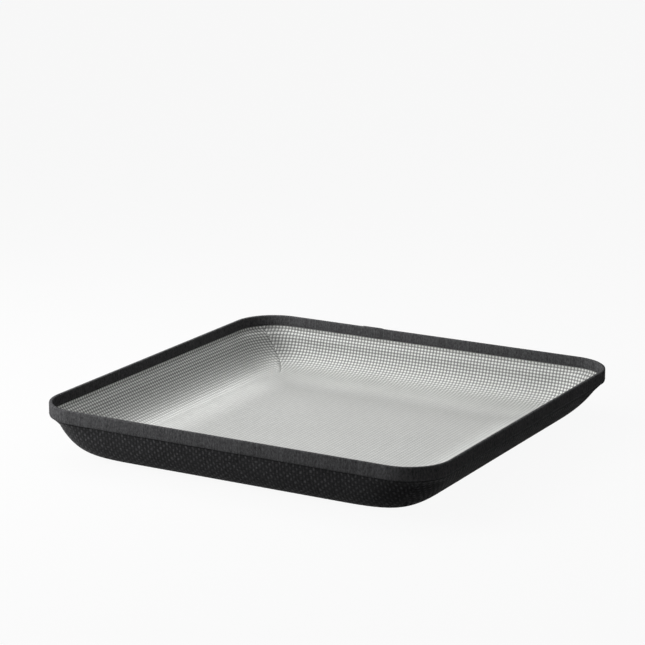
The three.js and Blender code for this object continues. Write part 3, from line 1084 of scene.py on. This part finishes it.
class TRAY_OT_foam_pads(bpy.types.Operator):
    """Cut the hidden foam pads of the floor and the four walls"""

    bl_idname = "tray.foam_pads"
    bl_label = "Foam pads"
    edge_insets = np.array([1.2, 0.4, 0, 0, 0.4, 1.2]) * MM
    edge_heights = np.array([0, 0.12, 0.35, 0.65, 0.88, 1])
    along_steps = 24
    skived = 0.03
    thinned = 0.2

    def base_pad(self, form):
        """The pad under the floor, with its edge skived round."""
        low = CANVAS_THICKNESS + CLEARANCE
        columns = form.face.shape[1]
        rings = np.repeat(form.face[-1:], len(self.edge_insets), axis=0)
        rings[..., :2] -= np.sign(rings[..., :2]) * (self.edge_insets + CLEARANCE)[:, None, None]
        rings[..., 2] = low + PAD_THICKNESS * self.edge_heights[:, None]
        points = np.concatenate([*rings, [(0, 0, low), (0, 0, low + PAD_THICKNESS)]])
        bottom = [face[::-1] for face in fan(0, columns, len(points) - 2)]
        top = fan((len(rings) - 1) * columns, columns, len(points) - 1)
        return points, ring_quads(len(rings), columns) + bottom + top

    def wall_pad(self, form, side):
        """The pad of one straight wall, thinned towards its edges."""
        end = side * (CORNER_STEPS + 1)
        rows = np.flatnonzero(form.share >= PAD_START)
        outer = form.layer(CANVAS_THICKNESS + CLEARANCE)[rows]
        inner = form.layer(form.liner_depth() - CLEARANCE)[rows]
        along = np.linspace(0, 1, self.along_steps + 1)
        down = np.linspace(0, 1, len(rows))

        def fullness(share, reach):
            return mix(self.thinned, 1, smooth(np.minimum(share, 1 - share), 0, reach))

        full = fullness(along, self.skived) * fullness(down, self.skived * 2)[:, None]

        def strip(layer):
            return mix(layer[:, end - 1, None], layer[:, end, None], along[:, None])

        low, high = strip(outer), strip(inner)
        middle = (low + high) / 2
        return closed_sheet(*(mix(middle, skin, full[..., None]) for skin in (low, high)))

    def execute(self, context):
        form = TrayForm(context.scene.tray_sizes)
        material = foam_finish(context.scene.tray_colours.foam)
        pads = {"foam_base": ("base_pad", self.base_pad(form))}
        for side, place in enumerate(("front", "right", "back", "left")):
            pads["foam_" + place] = ("wall_pad_" + place, self.wall_pad(form, side))
        for name, (node, (points, faces)) in pads.items():
            piece = new_piece(name, points, faces)
            shade_smooth(piece.data)
            piece.data.materials.append(material)
            settle(piece, "foam", node)
        return {"FINISHED"}


def closed_sheet(low, high):
    """Points and faces of a thin block between two grids of points, of which high is the outer one."""
    rows, columns = low.shape[:2]
    count = rows * columns
    grid = np.arange(count).reshape(rows, columns)
    quads = np.stack([grid[:-1, :-1], grid[1:, :-1], grid[1:, 1:], grid[:-1, 1:]], axis=-1).reshape(-1, 4)
    rim = np.concatenate([grid[:-1, 0], grid[-1, :-1], grid[:0:-1, -1], grid[0, :0:-1]])
    after = np.roll(rim, -1)
    walls = np.stack([rim, after, after + count, rim + count], axis=-1)
    points = np.concatenate([low.reshape(-1, 3), high.reshape(-1, 3)])
    return points, [*quads[:, ::-1].tolist(), *(quads + count).tolist(), *walls.tolist()]


class TRAY_OT_rim_strip(bpy.types.Operator):
    """Finish the hidden stiffening strip"""

    bl_idname = "tray.rim_strip"
    bl_label = "Rim strip"

    def execute(self, context):
        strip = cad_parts["rim_strip"]
        strip.data.materials.clear()
        strip.data.materials.append(strip_finish(context.scene.tray_colours.strip))
        return {"FINISHED"}


class TRAY_OT_rim_webbing(bpy.types.Operator):
    """Fold the ribbed tape over the rim and sew it down"""

    bl_idname = "tray.rim_webbing"
    bl_label = "Rim webbing"
    stitch_length = 3.4 * MM
    thread_width = 0.55 * MM
    thread_lift = 0.22 * MM
    row_height = 2.6 * MM
    tack_inset = 3.0 * MM
    tack_room = 3.0 * MM
    tack_points = 6
    row_points = 400

    def sewn_line(self, tape, distances, inset, heights, way):
        """A line of stitches on the tape's face, held a little way out of it."""
        insets = np.full(len(heights), inset + self.thread_lift * way)
        return tape.points(distances, insets, heights, np.array([(way, 0)])).reshape(-1, 3)

    def stitch_lines(self, tape, sizes):
        """Rows round the outer and the inner flap, and a tack across the end of the lap on each."""
        end = tape.length - self.tack_inset
        turn = np.linspace(LAP_LENGTH, end, self.row_points)
        lines = []
        for inset, way, flap in ((0.0, -1, sizes.band_height), (RIM_THICKNESS, 1, sizes.inner_band_height)):
            row = sizes.height - flap + self.row_height
            tack = np.linspace(row, sizes.height - self.tack_room, self.tack_points)
            lines.append(self.sewn_line(tape, turn, inset, np.array([row]), way))
            lines.append(self.sewn_line(tape, np.array([end]), inset, tack, way))
        return lines

    def sew(self, tape, sizes, colour):
        lines = self.stitch_lines(tape, sizes)
        points = np.concatenate(lines)
        ends = np.cumsum([len(line) for line in lines])
        edges = [(i, i + 1) for i in range(len(points) - 1) if i + 1 not in ends]
        piece = new_piece("rim_stitches", points, [], edges)
        given = {
            "Pitch": sizes.stitch_pitch,
            "Length": self.stitch_length,
            "Thread": self.thread_width,
            "Material": thread_finish(colour),
        }
        grow(piece, stitch_tree(), given)
        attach(piece, BODY)
        return piece

    def execute(self, context):
        sizes, colours = context.scene.tray_sizes, context.scene.tray_colours
        tape = Tape(sizes, sizes.rib_pitch)
        points = tape.mesh_points()
        rows, columns = points.shape[:2]
        front = len(tape.section)
        piece = new_piece("rim_webbing", points, tape_faces(rows, columns))
        mark_ribs(piece.data, columns, front)
        map_tape(piece.data, tape, columns, front)
        piece.data.materials.append(webbing_finish(colours.webbing, tape.rib_pitch))
        settle(piece, "webbing", "rim_binding")
        stitches = self.sew(tape, sizes, colours.thread)
        return {"FINISHED"}


# The camera: its way round, up and rolled, its place from the rim's middle as it sees it, and its lens
CAMERA_AZIMUTH = math.radians(29.22)
CAMERA_ELEVATION = math.radians(14.30)
CAMERA_ROLL = math.radians(0.22)
CAMERA_PLACE = (-16.45 * MM, 83.76 * MM, 3.40128)
SENSOR = 36.0
FOCAL_SHARE = 3.8015

# The floor's size and how white it is seen, the room's level where it is seen and how much of that lights
FLOOR_SIZE = 60.0
FLOOR_GLOW = 0.93
ROOM_LEVEL = 0.18
ROOM_LIGHT = 0.15

# Bright places of the room: the way to the middle of each, the cosines at its edge and at its full part, and
# how much brighter than the room it is
BRIGHT_PLACES = (
    ((-0.7, -0.6, 0.4), (0.1, 0.9), 0.8),
    ((-0.38, 0.5, 0.78), (0.7, 0.97), 1.6),
    ((0.4, 0.8, 0.45), (0.75, 0.97), 0.18),
)

# The lamps: their size, and for each its place and its power in watts
SOFTBOX_SIZE = 0.9
SOFTBOXES = {
    "key_softbox": ((-1.0, -0.8, 0.66), 24.2),
    "top_softbox": ((-0.7, 0.1, 1.0), 11.0),
    "fill_softbox": ((0.35, 0.2, 0.9), 2.5),
}


class TRAY_OT_stage(bpy.types.Operator):
    """Set up the pale floor, the soft light and the camera"""

    bl_idname = "tray.stage"
    bl_label = "Stage"

    def floor(self, colour):
        half = FLOOR_SIZE / 2
        corners = [(-half, -half, 0), (half, -half, 0), (half, half, 0), (-half, half, 0)]
        floor = new_piece("studio_floor", corners, [(0, 1, 2, 3)])
        finish = Finish("pale_floor", colour)
        matt = finish.node("ShaderNodeBsdfDiffuse", None, {"Color": (*finish.colour, 1.0)})
        white = finish.node("ShaderNodeEmission")
        shown = self.seen(finish) * FLOOR_GLOW
        mixed = finish.node("ShaderNodeMixShader", None, {0: shown, 1: matt, 2: white})
        floor.data.materials.append(finish.made_of(mixed))

    @staticmethod
    def seen(graph):
        """1 for what the camera sees, also in a reflection or through something clear."""
        path = graph.node("ShaderNodeLightPath")
        mirrored = path.out("Is Glossy Ray").math("MAXIMUM", path.out("Is Transmission Ray"))
        return path.out("Is Camera Ray").math("MAXIMUM", mirrored)

    def world(self, scene):
        """A room with bright places at the front left, high at the back and at the back right, which the
        tray mirrors, and white behind the tray."""
        world = bpy.data.worlds.new("studio_room")
        world.use_nodes = True
        graph = Graph(world.node_tree)
        way = graph.node("ShaderNodeTexCoord")

        def bright(middle, turn, rise):
            faced = graph.vector("DOT_PRODUCT", way, middle).out("Value")
            return graph.step(faced, *turn) * rise

        brightest, *others = [bright(*place) for place in BRIGHT_PLACES]
        for other in others:
            brightest = brightest.math("MAXIMUM", other)
        level = brightest + ROOM_LEVEL
        light, shown, white = (
            graph.node("ShaderNodeBackground", None, {"Strength": strength})
            for strength in (level * ROOM_LIGHT, level, 1.0)
        )
        mixed = graph.node("ShaderNodeMixShader", None, {0: self.seen(graph), 1: light, 2: shown})
        straight = graph.node("ShaderNodeLightPath")
        mixed = graph.node("ShaderNodeMixShader", None, {0: straight, 1: mixed, 2: white})
        graph.node("ShaderNodeOutputWorld", None, {"Surface": mixed})
        scene.world = world

    @staticmethod
    def lamp(scene, name, place, power):
        light = bpy.data.lights.new(name, "AREA")
        light.shape = "SQUARE"
        light.size = SOFTBOX_SIZE
        light.energy = power
        lamp = bpy.data.objects.new(name, light)
        lamp.location = place
        lamp.rotation_mode = "QUATERNION"
        lamp.rotation_quaternion = (-Vector(place)).to_track_quat("-Z", "Y")
        lamp.visible_glossy = False
        scene.collection.objects.link(lamp)

    @staticmethod
    def camera(scene, sizes):
        view = bpy.data.cameras.new("photo_view")
        view.sensor_width = SENSOR
        view.lens = SENSOR * FOCAL_SHARE
        camera = bpy.data.objects.new("photo_view", view)
        turned = (
            Matrix.Rotation(CAMERA_AZIMUTH, 4, "Z")
            @ Matrix.Rotation(math.pi / 2 - CAMERA_ELEVATION, 4, "X")
            @ Matrix.Rotation(CAMERA_ROLL, 4, "Z")
        )
        rim_middle = Matrix.Translation((0, 0, sizes.height))
        camera.matrix_world = rim_middle @ turned @ Matrix.Translation(CAMERA_PLACE)
        scene.collection.objects.link(camera)
        scene.camera = camera

    def execute(self, context):
        scene = context.scene
        self.floor(scene.tray_colours.floor)
        self.world(scene)
        for name, (place, power) in SOFTBOXES.items():
            self.lamp(scene, name, place, power)
        self.camera(scene, scene.tray_sizes)
        scene.view_settings.view_transform = "Standard"
        return {"FINISHED"}


OPERATORS = (
    TRAY_OT_canvas_skin,
    TRAY_OT_film_liner,
    TRAY_OT_foam_pads,
    TRAY_OT_rim_strip,
    TRAY_OT_rim_webbing,
    TRAY_OT_stage,
)


class TRAY_PT_sidebar(bpy.types.Panel):
    """The tray's sizes, colours and pieces"""

    bl_idname = "TRAY_PT_sidebar"
    bl_label = "Floor tray"
    bl_space_type = "VIEW_3D"
    bl_region_type = "UI"
    bl_category = "Tray"

    def draw(self, context):
        for group in (context.scene.tray_sizes, context.scene.tray_colours):
            column = self.layout.column(align=True)
            for name in group.__annotations__:
                column.prop(group, name)
        column = self.layout.column(align=True)
        for operator in OPERATORS:
            column.operator(operator.bl_idname)


CLASSES = (TraySizes, TrayColours, *OPERATORS, TRAY_PT_sidebar)


def register():
    for cls in CLASSES:
        bpy.utils.register_class(cls)
    bpy.types.Scene.tray_sizes = bpy.props.PointerProperty(type=TraySizes)
    bpy.types.Scene.tray_colours = bpy.props.PointerProperty(type=TrayColours)


def unregister():
    del bpy.types.Scene.tray_colours
    del bpy.types.Scene.tray_sizes
    for cls in reversed(CLASSES):
        bpy.utils.unregister_class(cls)


def main():
    register()
    bpy.ops.tray.canvas_skin()
    bpy.ops.tray.film_liner()
    bpy.ops.tray.foam_pads()
    bpy.ops.tray.rim_strip()
    bpy.ops.tray.rim_webbing()
    bpy.ops.tray.stage()


if __name__ == "__main__":
    main()
